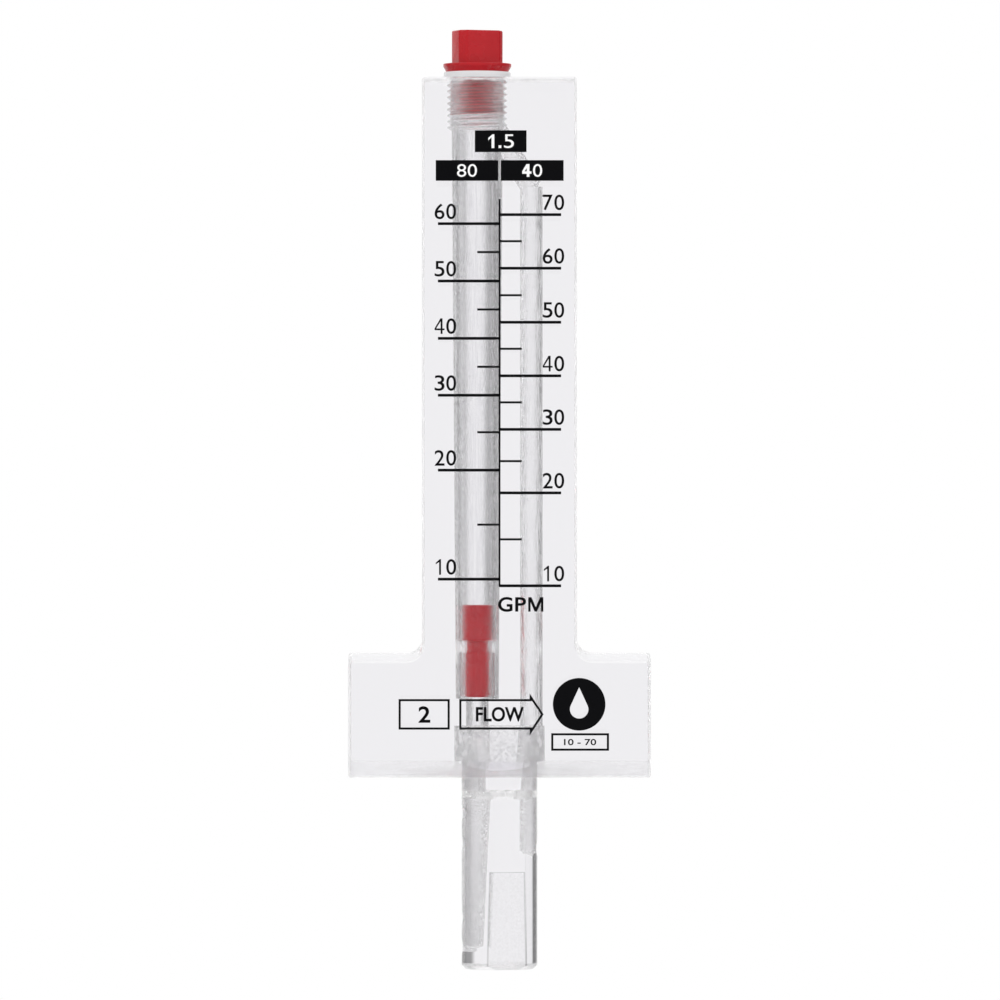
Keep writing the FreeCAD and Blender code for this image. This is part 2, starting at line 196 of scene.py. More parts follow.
class FlowMeterSettings(bpy.types.PropertyGroup):
    body: bpy.props.PointerProperty(type=MeterBodySizes)
    probe: bpy.props.PointerProperty(type=ProbeSizes)
    float: bpy.props.PointerProperty(type=FloatSizes)
    plug: bpy.props.PointerProperty(type=PlugSizes)
    marks: bpy.props.PointerProperty(type=PrintSizes)
    finish: bpy.props.PointerProperty(type=FinishSettings)
    stage: bpy.props.PointerProperty(type=StageSettings)


# Modelling by hand

def settle():
    """Leave edit mode and deselect everything."""
    if bpy.context.object and bpy.context.object.mode != "OBJECT":
        bpy.ops.object.mode_set(mode="OBJECT")
    bpy.ops.object.select_all(action="DESELECT")


def pick(*objects):
    settle()
    for obj in objects:
        obj.select_set(True)
    bpy.context.view_layer.objects.active = objects[-1]


def newest(name):
    """Name the object that was just added."""
    obj = bpy.context.object
    obj.name = obj.data.name = name
    return obj


def fix_place(obj):
    pick(obj)
    bpy.ops.object.transform_apply(location=True, rotation=True, scale=True)
    return obj


def open_mesh(obj, kind="VERT"):
    """Enter edit mode with everything selected."""
    pick(obj)
    bpy.ops.object.mode_set(mode="EDIT")
    bpy.ops.mesh.select_mode(type=kind)
    bpy.ops.mesh.select_all(action="SELECT")


def draw_out(step):
    bpy.ops.mesh.extrude_region_move(TRANSFORM_OT_translate={"value": step})


def walk(name, points, closed=True, filled=False):
    """Extrude a single vertex from point to point into an outline."""
    settle()
    bpy.ops.mesh.primitive_plane_add(size=MM, location=points[0])
    obj = fix_place(newest(name))
    open_mesh(obj)
    bpy.ops.mesh.merge(type="CENTER")
    for here, there in zip(points, points[1:]):
        draw_out(Vector(there) - Vector(here))
    if closed:
        net = bmesh.from_edit_mesh(obj.data)
        for vertex in net.verts:
            vertex.select = len(vertex.link_edges) == 1
        net.select_flush_mode()
        bmesh.update_edit_mesh(obj.data)
        bpy.ops.mesh.edge_face_add()
    bpy.ops.mesh.select_all(action="SELECT")
    if filled:
        bpy.ops.mesh.edge_face_add()
    settle()
    return obj


def close_up(obj, within=1e-6):
    """Merge doubled points and turn all faces outwards."""
    open_mesh(obj)
    bpy.ops.mesh.remove_doubles(threshold=within)
    bpy.ops.mesh.normals_make_consistent(inside=False)
    settle()
    return obj


def turned(name, profile, x=0.0, closed=False, around=AROUND):
    """Turn a profile of (radius, height) about an upright axis at x."""
    obj = walk(name, [(r, 0.0, z) for r, z in profile], closed=closed)
    open_mesh(obj)
    bpy.ops.mesh.spin(steps=around, angle=2 * pi, center=(0, 0, 0), axis=(0, 0, 1))
    close_up(obj)
    obj.location = (x, 0, 0)
    return fix_place(obj)


def bored(name, width, run, foot, lean=0.0, point=False):
    """A drilled hole's form: it starts at foot, runs up and may lean towards +X."""
    half = width / 2
    start = [(0, 0), (half, half / tan(DRILL_POINT) if point else 0)]
    obj = turned(name, start + [(half, run), (0, run)])
    obj.rotation_euler = (0, lean, 0)
    obj.location = foot
    return fix_place(obj)


def threaded(name, crest, tooth, pitch, low, high, x, around=96):
    """A right-hand thread between two heights."""
    root = crest - tooth
    flank = tooth * tan(THREAD_FLANK)
    flat = (pitch - 2 * flank) / 3
    obj = walk(name, [(root, 0, 0), (root, 0, 2 * flat), (crest, 0, 2 * flat + flank),
                      (crest, 0, 3 * flat + flank), (root, 0, pitch)], closed=False)
    helix = obj.modifiers.new("helix", "SCREW")
    helix.axis = "Z"
    helix.angle = 2 * pi
    helix.screw_offset = pitch
    helix.iterations = int(ceil((high - THREAD_START) / pitch)) + 2
    helix.steps = helix.render_steps = around
    helix.use_merge_vertices = False
    apply_all(obj)
    obj.location = (x, 0, THREAD_START)
    fix_place(obj)
    open_mesh(obj)
    bpy.ops.mesh.remove_doubles(threshold=1e-6)
    for height, waste in ((low, "clear_inner"), (high, "clear_outer")):
        bpy.ops.mesh.select_all(action="SELECT")
        bpy.ops.mesh.bisect(plane_co=(0, 0, height), plane_no=(0, 0, 1), use_fill=True,
                            threshold=1e-7, **{waste: True})
    return close_up(obj)


def box(name, low, high):
    settle()
    bpy.ops.mesh.primitive_cube_add(size=1.0)
    obj = newest(name)
    obj.scale = [b - a for a, b in zip(low, high)]
    obj.location = [(a + b) / 2 for a, b in zip(low, high)]
    return fix_place(obj)


def apply_all(obj):
    pick(obj)
    for modifier in list(obj.modifiers):
        bpy.ops.object.modifier_apply(modifier=modifier.name)


def join(target, tool, operation):
    """Boolean the tool into the target and take the tool away."""
    step = target.modifiers.new("step", "BOOLEAN")
    step.operation = operation
    step.solver = "EXACT"
    step.material_mode = "TRANSFER"
    step.object = tool
    apply_all(target)
    bpy.data.objects.remove(tool, do_unlink=True)
    return target


def cut(target, *tools):
    for tool in tools:
        join(target, tool, "DIFFERENCE")
    return target


def smooth(obj, limit=30.0):
    pick(obj)
    bpy.ops.object.shade_smooth_by_angle(angle=radians(limit))
    return obj


def finish_with(obj, *materials):
    """Give the first finish to all faces and keep the others for some of them."""
    obj.data.materials.clear()
    for material in materials:
        obj.data.materials.append(material)
    return obj


def bevel(obj, width, limit=40.0, segments=1, material=-1):
    edge = obj.modifiers.new("broken_edge", "BEVEL")
    edge.width = width
    edge.segments = segments
    edge.limit_method = "ANGLE"
    edge.material = material
    edge.angle_limit = radians(limit)
    apply_all(obj)
    return obj


# Shader nodes

def adjust(tree, node, **values):
    """Set a node's settings, and set or link its inputs, by name with _ for a blank."""
    for key, value in values.items():
        if hasattr(node, key):
            setattr(node, key, value)
        else:
            feed(tree, node.inputs[key.replace("_", " ")], value)
    return node


def feed(tree, socket, value):
    if isinstance(value, bpy.types.NodeSocket):
        tree.links.new(value, socket)
    else:
        socket.default_value = value


def add(tree, kind, x, y, **values):
    node = tree.nodes.new(kind)
    node.location = (x, y)
    return adjust(tree, node, **values)


def combine(tree, operation, x, y, *values):
    """Work out one value from numbers or other nodes' outputs."""
    node = add(tree, "ShaderNodeMath", x, y, operation=operation)
    for socket, value in zip(node.inputs, values):
        feed(tree, socket, value)
    return node.outputs[0]


def spread(tree, x, y, value, low, high, first, last, kind="LINEAR"):
    """Spread what lies between low and high over the run from first to last."""
    node = add(tree, "ShaderNodeMapRange", x, y, interpolation_type=kind, Value=value,
               From_Min=low, From_Max=high, To_Min=first, To_Max=last)
    return node.outputs["Result"]


def blend(tree, x, y, factor, a, b, kind="FLOAT"):
    node = add(tree, "ShaderNodeMix", x, y, data_type=kind, Factor=factor, A=a, B=b)
    return node.outputs["Result"]


def start(name):
    """A new material with its nodes, its shader and the place on the piece."""
    material = bpy.data.materials.new(name)
    material.use_nodes = True
    tree = material.node_tree
    place = add(tree, "ShaderNodeTexCoord", -1100, 0)
    return material, tree, tree.nodes["Principled BSDF"], place.outputs["Object"]


def node_group(name, inputs, outputs):
    group = bpy.data.node_groups.new(name, "ShaderNodeTree")
    for kind, label, value in inputs:
        socket = group.interface.new_socket(label, in_out="INPUT", socket_type=kind)
        if value is not None:
            socket.default_value = value
    for label in outputs:
        group.interface.new_socket(label, in_out="OUTPUT", socket_type="NodeSocketFloat")
    source = add(group, "NodeGroupInput", -600, 0)
    target = add(group, "NodeGroupOutput", 600, 0)
    return group, source.outputs, target


def skin_group():
    """Fine unevenness of a surface: a relief and a mask of its broad clouds."""
    group, given, target = node_group(
        "surface_grain",
        [("NodeSocketVector", "Place", None), ("NodeSocketFloat", "Grain", 2500.0),
         ("NodeSocketFloat", "Clouds", 250.0)], ["Relief", "Cloud"])
    fine = add(group, "ShaderNodeTexNoise", -250, 120, Detail=3.0, Roughness=0.6,
               Vector=given["Place"], Scale=given["Grain"])
    broad = add(group, "ShaderNodeTexNoise", -250, -160, Detail=2.0,
                Vector=given["Place"], Scale=given["Clouds"])
    adjust(group, target, Relief=fine.outputs["Fac"], Cloud=broad.outputs["Fac"])
    return group


def rings_group():
    """Tool marks: fine rings round an upright axis, broken up by noise."""
    group, given, target = node_group(
        "tool_marks",
        [("NodeSocketVector", "Place", None), ("NodeSocketFloat", "Rings", 2600.0),
         ("NodeSocketFloat", "Breakup", 6.0)], ["Relief"])
    rings = add(group, "ShaderNodeTexWave", -150, 80, wave_type="BANDS", bands_direction="Z",
                Detail=3.0, Detail_Scale=2.0, Vector=given["Place"], Scale=given["Rings"],
                Distortion=given["Breakup"])
    adjust(group, target, Relief=rings.outputs["Fac"])
    return group


# Materials

# What each tool leaves on the acrylic: roughness in shares of the walls' own, height of the marks
# in millimetres, speckle in the tint, alpha of the faintest and fullest specks, fineness of the
# grain, its frequency along the bore against across, a factor that makes the whole wall's tint
# lighter or darker, which is painted light and shade, and clearness of the whole wall
WALLS = {
    "clear": dict(),
    "planed": dict(rough=0.5, marks=0.006, speckle=0.05, painted_light=0.915),
    "reamed": dict(rough=0.45, marks=0.02, speckle=0.10, alpha=(0.8, 1.0), grain=3500.0,
                   stretch=0.04, painted_light=1.05),
    "drawn": dict(rough=0.6, marks=0.03, speckle=0.24, alpha=(0.2, 0.95), grain=4200.0,
                  stretch=0.05, painted_light=1.02),
    "drilled": dict(rough=0.8, marks=0.03, speckle=0.40, alpha=(0.20, 1.0), grain=3000.0,
                    painted_light=1.10),
    "tapped": dict(rough=2.1, marks=0.03, speckle=0.15, alpha=(0.66, 1.0), painted_light=1.04),
    "milled": dict(rough=1.6, marks=0.02, speckle=0.05, alpha=(0.46, 0.52), painted_light=1.12),
    "frosted": dict(rough=1.4, marks=0.10, speckle=0.12, alpha=(0.15, 0.75), grain=2200.0,
                    painted_light=1.08),
    "ground": dict(rough=3.0, marks=0.02, speckle=0.06, painted_light=1.12, clear=0.15),
    # Dark lines on the flat's broken edges and the port's mouth: painted shade, a much darker tint
    "scored": dict(rough=0.5, speckle=0.08, painted_light=0.55),
}


def shaded(colour, factor):
    return [min(1.0, c * factor) for c in colour]


class Finishes:
    """Every material of the meter, made once."""

    def __init__(self, settings):
        self.settings = settings
        self.skin = skin_group()
        self.rings = rings_group()
        for name, look in WALLS.items():
            setattr(self, name, self.acrylic(name + "_acrylic", **look))
        self.bonded = self.bond()
        self.red = self.plastic("red_plastic", settings.red)
        # The float's red plastic, its colour made lighter as painted light
        self.bright_red = self.plastic("float_red", settings.float_red)
        self.seal = self.silicone()
        self.ink = self.print_ink("black_print", settings.ink, 2.2)
        self.white_ink = self.print_ink("white_print", settings.white_ink, 1.05)

    def grain(self, tree, place, grain, clouds):
        node = add(tree, "ShaderNodeGroup", -850, -100, node_tree=self.skin, Place=place,
                   Grain=grain, Clouds=clouds)
        return node.outputs["Relief"], node.outputs["Cloud"]

    def relief(self, tree, shader, height, strength, depth):
        bump = add(tree, "ShaderNodeBump", -250, -300, Strength=strength, Distance=depth,
                   Height=height)
        adjust(tree, shader, Normal=bump.outputs["Normal"])

    def tones(self, tree, shader, factor, dark, light):
        mixed = blend(tree, -450, 300, factor, (*dark, 1), (*light, 1), "RGBA")
        adjust(tree, shader, Base_Color=mixed)

    def mottle(self, tree, shader, relief, tint, speckle):
        """Darker and clearer specks of a cut surface."""
        self.tones(tree, shader, spread(tree, -650, 350, relief, 0.40, 0.58, 0, 1),
                   shaded(tint, 1 - speckle), shaded(tint, 1 + speckle))

    def acrylic(self, name, rough=0.0, marks=0.0, speckle=0.0, alpha=(1.0, 1.0), grain=2600.0,
                stretch=1.0, painted_light=1.0, clear=1.0):
        """Acrylic with what a tool leaves on it, and painted light and shade in its tint."""
        material, tree, shader, place = start(name)
        # The acrylic's tint made lighter or darker per wall: painted light and shade
        tint = shaded(self.settings.acrylic, painted_light)
        roughness = rough * self.settings.walls
        if stretch != 1.0:
            along = add(tree, "ShaderNodeMapping", -1050, -250, Vector=place,
                        Scale=(1.0, 1.0, stretch))
            place = along.outputs["Vector"]
        relief, cloud = self.grain(tree, place, grain, 160.0)
        adjust(tree, shader, Base_Color=(*tint, 1), Transmission_Weight=clear, IOR=1.49,
               Roughness=spread(tree, -500, 100, cloud, 0.35, 0.75, roughness * 0.6,
                                roughness * 1.3 + 0.012),
               Alpha=self.lets_light_in(tree, relief, *alpha))
        if speckle:
            self.mottle(tree, shader, relief, tint, speckle)
        if marks:
            rings = add(tree, "ShaderNodeGroup", -850, -400, node_tree=self.rings, Place=place)
            both = combine(tree, "ADD", -500, -300, rings.outputs["Relief"], relief)
            self.relief(tree, shader, both, 1.0, marks * MM)
        return material

    def lets_light_in(self, tree, relief, faint, full):
        """Alpha of a wall: lamp light passes it, so what lies inside is lit, and so do specks."""
        paths = add(tree, "ShaderNodeLightPath", -600, 500)
        alpha = combine(tree, "MULTIPLY_ADD", -350, 450, paths.outputs["Is Shadow Ray"],
                        -LIGHT_LET_IN, 1.0)
        if faint < 1.0:
            mask = spread(tree, -400, 650, relief, 0.40, 0.60, faint, full)
            alpha = combine(tree, "MULTIPLY", -150, 450, alpha, mask)
        return alpha

    def bond(self):
        """A cemented joint: clear all over but for its specks and bubbles."""
        material, tree, shader, place = start("bonded_joint")
        relief, cloud = self.grain(tree, place, 1500.0, 380.0)
        specks = spread(tree, -500, 200, relief, 0.58, 0.64, 0.0, 1.0)
        haze = spread(tree, -500, 450, cloud, 0.40, 0.62, 0.12, 0.6)
        adjust(tree, shader, Base_Color=(*self.settings.acrylic, 1), Transmission_Weight=1.0,
               IOR=1.49, Roughness=0.2,
               Alpha=combine(tree, "MAXIMUM", -300, 300, specks, haze))
        self.mottle(tree, shader, relief, self.settings.acrylic, 0.25)
        self.relief(tree, shader, relief, 1.0, 0.15 * MM)
        return material

    def plastic(self, name, red):
        material, tree, shader, place = start(name)
        relief, cloud = self.grain(tree, place, 1500.0, 220.0)
        self.tones(tree, shader, cloud, shaded(red, 0.86), shaded(red, 1.12))
        adjust(tree, shader, Roughness=spread(tree, -500, 0, cloud, 0.3, 0.7, 0.22, 0.36),
               IOR=1.42, Subsurface_Weight=0.12, Subsurface_Radius=(0.8, 0.12, 0.1),
               Subsurface_Scale=0.6 * MM)
        self.relief(tree, shader, relief, 0.5, 0.03 * MM)
        return material

    def silicone(self):
        material, tree, shader, place = start("clear_seal")
        relief, cloud = self.grain(tree, place, 1200.0, 300.0)
        adjust(tree, shader, Base_Color=(*self.settings.seal, 1), Transmission_Weight=0.16,
               IOR=1.41, Roughness=spread(tree, -500, 0, cloud, 0.3, 0.7, 0.12, 0.26))
        self.relief(tree, shader, relief, 0.6, 0.05 * MM)
        return material

    def print_ink(self, name, ink, lift):
        """Dull printing ink whose coat varies a little; lift is how far its light spots go."""
        material, tree, shader, place = start(name)
        relief, _ = self.grain(tree, place, 3500.0, 400.0)
        self.tones(tree, shader, relief, ink, shaded(ink, lift))
        adjust(tree, shader, Roughness=0.6, Specular_IOR_Level=0.05)
        self.relief(tree, shader, relief, 0.4, 0.01 * MM)
        return material


made = {}


def finishes(context):
    if "finishes" not in made:
        made["finishes"] = Finishes(context.scene.flow_meter.finish)
    return made["finishes"]


# Stage

# Each lamp's name, place and size in metres, and power in watts
LAMPS = (("key", (-0.9, -1.1, 1.0), 1.0, 7.0), ("fill", (1.1, -0.9, 0.5), 1.0, 4.0),
         ("back", (0.3, 1.2, 0.9), 1.2, 5.0))
BOUNCES = {"max_bounces": 28, "transmission_bounces": 28, "transparent_max_bounces": 32,
           "glossy_bounces": 12}


class FLOWMETER_OT_stage(bpy.types.Operator):
    """Floor, sky, lamps and camera"""
    bl_idname = "flow_meter.stage"
    bl_label = "Stage"

    def execute(self, context):
        settings = context.scene.flow_meter
        self.floor(settings.stage, settings.finish)
        self.sky(context.scene)
        for lamp in LAMPS:
            self.lamp(*lamp)
        self.camera(context.scene, settings.stage)
        for name, most in BOUNCES.items():
            setattr(context.scene.cycles, name, most)
        return {"FINISHED"}

    def lamp(self, name, place, size, power):
        settle()
        bpy.ops.object.light_add(type="AREA", location=place)
        lamp = newest(name)
        lamp.data.size = size
        lamp.data.energy = power
        middle = Vector((0, 0, 50 * MM))
        lamp.rotation_euler = (middle - Vector(place)).to_track_quat("-Z", "Y").to_euler()
        lamp.visible_glossy = lamp.visible_transmission = False

    def camera(self, scene, stage):
        settle()
        bpy.ops.object.camera_add(location=(stage.look_x, -stage.distance, stage.look_z),
                                  rotation=(SQUARE, 0, 0))
        camera = newest("camera")
        sensor = 36.0
        camera.data.sensor_width = sensor
        camera.data.lens = sensor * stage.distance / stage.seen
        camera.data.clip_start, camera.data.clip_end = 0.05, 20.0
        scene.camera = camera
        scene.view_settings.view_transform = "Standard"

    def floor(self, stage, finish):
        """Pale floor that fades into the white and looks white through glass."""
        settle()
        radius = stage.floor_radius
        bpy.ops.mesh.primitive_circle_add(vertices=128, radius=radius, fill_type="NGON",
                                          location=(0, 0, stage.floor_level))
        disc = fix_place(newest("floor"))
        open_mesh(disc, "FACE")
        bpy.ops.mesh.inset(thickness=radius * 0.5)
        settle()
        material, tree, shader, place = start("pale_floor")
        adjust(tree, shader, Base_Color=(*finish.floor, 1), Roughness=0.6,
               Specular_IOR_Level=0.2)
        away = add(tree, "ShaderNodeVectorMath", -700, 0, operation="LENGTH")
        tree.links.new(place, away.inputs[0])
        fade = spread(tree, -500, 0, away.outputs["Value"], radius * 0.25, radius * 0.95,
                      0.0, 1.0, "SMOOTHSTEP")
        paths = add(tree, "ShaderNodeLightPath", -700, 350).outputs
        glass = combine(tree, "MAXIMUM", -500, 350, paths["Is Glossy Ray"],
                        paths["Is Transmission Ray"])
        bright = combine(tree, "MAXIMUM", -250, 200, glass, fade)
        glow = add(tree, "ShaderNodeEmission", -100, -250, Strength=1.0)
        surface = add(tree, "ShaderNodeMixShader", 200, 0)
        for socket, value in zip(surface.inputs, (bright, shader.outputs[0], glow.outputs[0])):
            tree.links.new(value, socket)
        adjust(tree, tree.nodes["Material Output"], Surface=surface.outputs[0])
        finish_with(disc, material)

    def sky(self, scene):
        """White for the camera; glass and gloss see a bright front and back between dark flags."""
        world = bpy.data.worlds.new("studio")
        scene.world = world
        world.use_nodes = True
        tree = world.node_tree
        tree.nodes.clear()

        def ramp(value, low, high, first, last, x, y):
            return spread(tree, x, y, value, low, high, first, last, "SMOOTHSTEP")

        look = add(tree, "ShaderNodeTexCoord", -1400, 0)
        way = add(tree, "ShaderNodeSeparateXYZ", -1200, 0, Vector=look.outputs["Generated"])
        across, along = way.outputs["X"], way.outputs["Y"]
        height = combine(tree, "ABSOLUTE", -1000, -300, way.outputs["Z"])
        open_left = combine(tree, "MAXIMUM", -800, 200,
                            ramp(across, -0.80, -0.72, 0.0, 1.0, -1000, 300),
                            ramp(across, -0.985, -0.995, 0.0, 1.0, -1000, 150))
        open_right = ramp(across, 0.46, 0.60, 1.0, 0.0, -1000, 0)
        opening = combine(tree, "MAXIMUM", -400, 100,
                          combine(tree, "MULTIPLY", -600, 150, open_left, open_right),
                          ramp(height, 0.42, 0.62, 0.0, 1.0, -800, -300))
        flag = combine(tree, "MINIMUM", -400, -150,
                       ramp(across, 0.70, 0.98, 0.36, 0.10, -600, -100),
                       ramp(across, -0.75, -0.55, 0.16, 1.0, -600, -250))
        behind = blend(tree, -200, 100, opening, flag, 1.0)
        front = blend(tree, -200, -300, ramp(height, 0.35, 0.7, 0.0, 1.0, -400, -400), 0.62, 0.9)
        seen = blend(tree, 0, 0, ramp(along, 0.05, -0.20, 0.0, 1.0, -200, -100), behind, front)
        paths = add(tree, "ShaderNodeLightPath", -600, 500).outputs
        clear = combine(tree, "MAXIMUM", -400, 400, paths["Is Glossy Ray"],
                        paths["Is Transmission Ray"])
        through = blend(tree, 0, 200, clear, 0.72, seen)
        sky = add(tree, "ShaderNodeBackground", 400, 0, Color=(1, 1, 1, 1), Strength=combine(
            tree, "MAXIMUM", 200, 200, through, paths["Is Camera Ray"]))
        add(tree, "ShaderNodeOutputWorld", 600, 0, Surface=sky.outputs[0])


# Meter body

class FLOWMETER_OT_body(bpy.types.Operator):
    """Clear block with its saddle, wings, bores and threaded port"""
    bl_idname = "flow_meter.body"
    bl_label = "Meter body"

    def execute(self, context):
        size = context.scene.flow_meter.body
        plug = context.scene.flow_meter.plug
        finish = finishes(context)
        block = self.blank(size, finish)
        cut(block, *self.passages(size, finish), *self.port(size, plug, finish))
        smooth(block)
        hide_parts("meter_body")
        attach(block, "block")
        return {"FINISHED"}

    def blank(self, size, finish):
        """The block before its bores: an outline drawn out in depth and bent to the pipe."""
        half, side, steps, arcs = size.length / 2, size.column / 2, 32, 12
        lead = 0.6 * MM
        centre = (side + size.fillet, size.wing + size.fillet)
        corner = [(centre[0] - size.fillet * cos(a), centre[1] - size.fillet * sin(a))
                  for a in (SQUARE * step / arcs for step in range(arcs, -1, -1))]
        right = [(half, 0.0), (half, size.wing), (centre[0] + lead, size.wing), *corner,
                 (side, centre[1] + lead), (side, size.top)]
        outline = right + [(-x, z) for x, z in reversed(right)]
        block = walk("meter_block", [(x, -size.depth / 2, z) for x, z in outline], filled=True)
        open_mesh(block, "FACE")
        for step in range(steps):
            draw_out((0, size.depth / steps, 0))
        settle()
        crown = size.saddle + size.wing
        for vertex in block.data.vertices:
            y, z = vertex.co.y, vertex.co.z
            if z < 1e-6:
                vertex.co.z = sqrt(size.saddle ** 2 - y * y) - size.saddle
            elif z < centre[1] + lead + 1e-6:
                vertex.co.z += sqrt(crown ** 2 - y * y) - crown
        close_up(block, 1e-7)
        finish_with(block, finish.clear, finish.milled)
        for face in block.data.polygons:
            if face.normal.z < -0.5:
                face.material_index = 1
        return bevel(block, size.edge, material=1)

    def passages(self, size, finish):
        """Socket, return bore, metering bore with its inlet, and the slanted passage."""
        half, roof, under = size.socket_width / 2, size.socket_floor, size.socket_floor - MM
        below = -30 * MM
        socket = turned("socket", [(0, below), (half, below), (half, roof), (0, roof)])
        back = bored("return_bore", size.return_width, size.return_head - under,
                     (size.return_x, 0, under))
        inlet, over = size.inlet_width / 2, size.port_floor + MM
        metering = turned("metering_bore", [
            (0, under), (inlet, under), (inlet, size.bore_floor),
            (size.floor_width / 2, size.bore_floor), (size.head_width / 2, size.port_floor),
            (size.head_width / 2, over), (0, over)], x=size.bore_x)
        quarter = size.return_width / 4
        slant = bored("slanted_passage", size.return_width, size.slant_run,
                      (size.return_x + quarter * tan(size.slant), 0, size.return_head - quarter),
                      lean=-size.slant, point=True)
        walls = (finish.bonded, finish.drawn, finish.reamed, finish.drilled)
        return [finish_with(*pair) for pair in zip((socket, back, metering, slant), walls)]

    def port(self, size, plug, finish):
        """The port's thread and its bevelled mouth."""
        root, top = plug.port_width / 2, size.top
        port = threaded("port", root, plug.tooth, plug.pitch, size.port_floor, top + MM,
                        size.bore_x)
        low, high = top - 1.3 * MM, top + 0.3 * MM
        mouth = turned("port_mouth", [(0, low), (root - MM, low), (root + 0.6 * MM, high),
                                      (0, high)], x=size.bore_x)
        # The mouth's bevel gets a much darker tint, which is painted shade
        return finish_with(port, finish.tapped), finish_with(mouth, finish.scored)


# Probe

# Heights of the pressure holes in millimetres
UPSTREAM_HOLES = (-11.15, -17.35, -33.05, -39.25)
DOWNSTREAM_HOLE = -18.5


class FLOWMETER_OT_probe(bpy.types.Operator):
    """Clear collar and tip with the impact bore, the static bore, the holes and the flat"""
    bl_idname = "flow_meter.probe"
    bl_label = "Probe"

    def execute(self, context):
        size = context.scene.flow_meter.probe
        finish = finishes(context)
        self.collar(size, context.scene.flow_meter.body.inlet_width, finish)
        self.tip(size, finish)
        return {"FINISHED"}

    def collar(self, size, rise_width, finish):
        half, neck, foot = size.collar_width / 2, size.width / 2, size.collar_foot
        band = foot + 0.85 * MM
        collar = turned("collar", [(0, foot), (neck, foot), (neck, band), (neck, 0), (half, 0),
                                   (half, size.collar_top), (0, size.collar_top)])
        finish_with(collar, finish.clear, finish.bonded, finish.frosted)
        for face in collar.data.polygons:
            if face.center.z > size.collar_top - 1e-5 or (
                    face.center.z > 0 and Vector(face.center[:2]).length > half * 0.98):
                face.material_index = 1
            elif face.center.z < band:
                face.material_index = 2
        under, run = foot - MM, size.collar_top - foot + 3 * MM
        rise = bored("rise_bore", rise_width, run, (size.rise_x, 0, under))
        static = bored("static_rise", size.static_width, run, (size.static_x, 0, under),
                       lean=size.static_lean)
        for tool in (rise, static):
            finish_with(tool, finish.drilled)
        cut(collar, rise, static)
        self.keep(collar, "probe_collar")

    def tip(self, size, finish):
        half, end, top = size.width / 2, size.tip_end, size.tip_top
        band = top - 0.75 * MM
        tip = turned("tip", [(0, end), (half - size.bevel, end), (half, end + size.bevel),
                             (half, band), (half, top), (0, top)])
        # The fourth finish is the painted shade of the flat's edge lines
        finish_with(tip, finish.clear, finish.milled, finish.frosted, finish.scored)
        for face in tip.data.polygons:
            if face.center.z > band:
                face.material_index = 2
            elif face.center.z < end + size.bevel * 0.9:
                face.material_index = 1
        cut(tip, *self.drillings(size, finish))
        self.plane_flat(tip, size, finish)
        self.keep(tip, "probe_tip", 8.5)

    def drillings(self, size, finish):
        """The two long bores and the countersunk pressure holes."""
        run = size.collar_foot - size.impact_low
        foot = (size.impact_x - run * tan(size.impact_lean), 0, size.impact_low)
        bores = [bored("impact_bore", size.impact_width, -size.impact_low, foot,
                       lean=size.impact_lean, point=True),
                 bored("static_bore", size.static_width, -size.static_low,
                       (size.static_x, 0, size.static_low), point=True)]
        holes = [self.side_hole("upstream_hole_%d" % number, size, -1, z)
                 for number, z in enumerate(UPSTREAM_HOLES)]
        holes.append(self.side_hole("downstream_hole", size, 1, DOWNSTREAM_HOLE))
        return ([finish_with(bore, finish.drilled) for bore in bores]
                + [finish_with(hole, finish.ground) for hole in holes])

    def plane_flat(self, tip, size, finish):
        """Mill the flat and break its edges."""
        half, end, top = size.width / 2, size.tip_end, size.flat_top
        deep = half - size.flat_depth
        flat = box("flat_cut", (-half, -half, end - 2 * MM - top), (half, 0, 0))
        place = (deep * sin(size.flat_turn), -deep * cos(size.flat_turn), top)
        flat.matrix_world = (Matrix.Translation(place) @ Matrix.Rotation(size.flat_turn, 4, "Z")
                             @ Matrix.Rotation(size.flat_lean, 4, "X"))
        cut(tip, finish_with(fix_place(flat), finish.planed))
        open_mesh(tip)
        net = bmesh.from_edit_mesh(tip.data)
        turn = Matrix.Rotation(-size.flat_turn, 3, "Z")
        inward, outward, near = 0.5 * MM, 0.01 * MM, 0.01 * MM
        for vertex in net.verts:
            z, away = vertex.co.z, -(turn @ vertex.co).y - deep
            on_edge = vertex.co.xy.length > half - near or z > top - near
            vertex.select = (on_edge and end + size.bevel * 0.5 < z < top + near
                             and -inward < away < outward)
        net.select_flush_mode()
        bpy.ops.mesh.select_mode(type="EDGE")
        bmesh.update_edit_mesh(tip.data)
        # The bevel's faces take the fourth finish, whose darker tint paints the edge lines' shade
        bpy.ops.mesh.bevel(offset=0.18 * MM, segments=2, affect="EDGES", material=3)
        settle()

    def side_hole(self, name, size, side, z):
        """A hole from the bore to the probe's side, with its countersink."""
        half, out, inside = size.hole_width / 2, size.width / 2, 3.5 * MM
        wide, sunk, rim = half + 0.8 * MM, out - 1.1 * MM, out - 0.3 * MM
        hole = turned(name, [(0, inside), (half, inside), (half, sunk), (wide, rim),
                             (wide, out + MM), (0, out + MM)], around=48)
        hole.rotation_euler = (0, side * SQUARE, 0)
        hole.location = (0, 0, z * MM)
        return fix_place(hole)

    def keep(self, piece, node, limit=30.0):
        smooth(piece, limit)
        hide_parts(node)
        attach(piece, "block")


# Float, plug and seal

